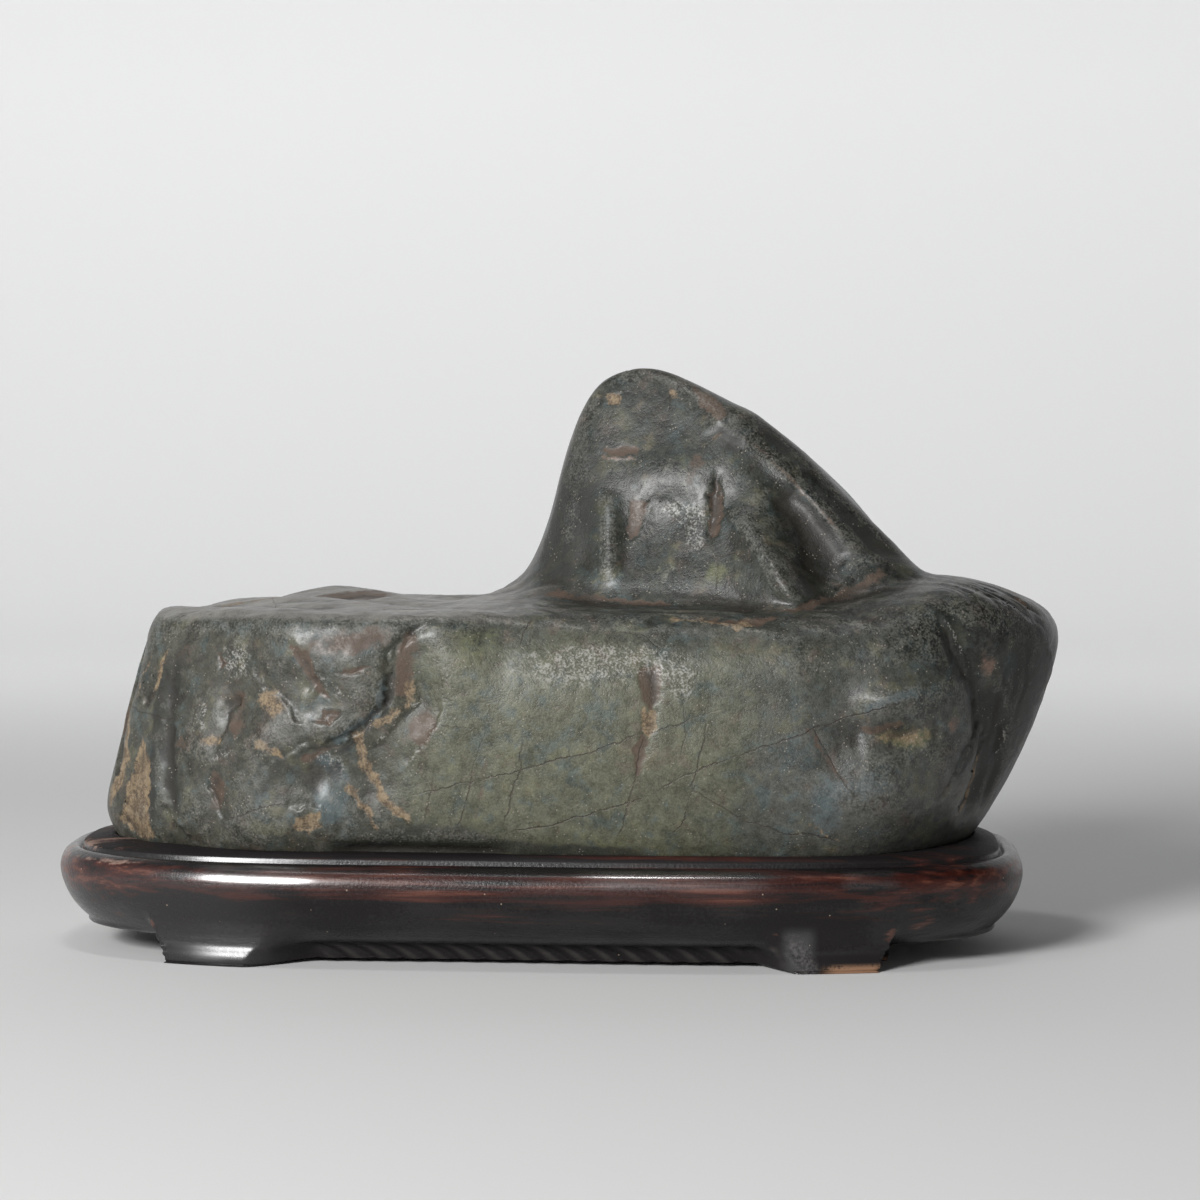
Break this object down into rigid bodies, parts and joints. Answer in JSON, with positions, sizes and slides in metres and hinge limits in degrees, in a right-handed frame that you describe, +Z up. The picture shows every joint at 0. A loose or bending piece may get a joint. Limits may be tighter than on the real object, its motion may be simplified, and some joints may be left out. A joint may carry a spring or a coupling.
{
  "type": "scholars rock",
  "caption": "Long dark natural stone with a flat table, a steep off-centre peak and an overhanging end, resting in the pocket of a low carved wooden stand.",
  "frame": {"origin": "on the surface the stand's feet rest on, below the middle of the whole object's box", "axes": "+X runs along the stone towards its overhanging end, the front faces -Y, +Z is up"},
  "size_m": [0.2712, 0.1118, 0.1555],
  "materials": {
    "stone": "satin",
    "stand_wood": "gloss"
  },
  "bodies": {
    "root": {"stone": "stone", "stand": "stand_wood"}
  },
  "joints": []
}
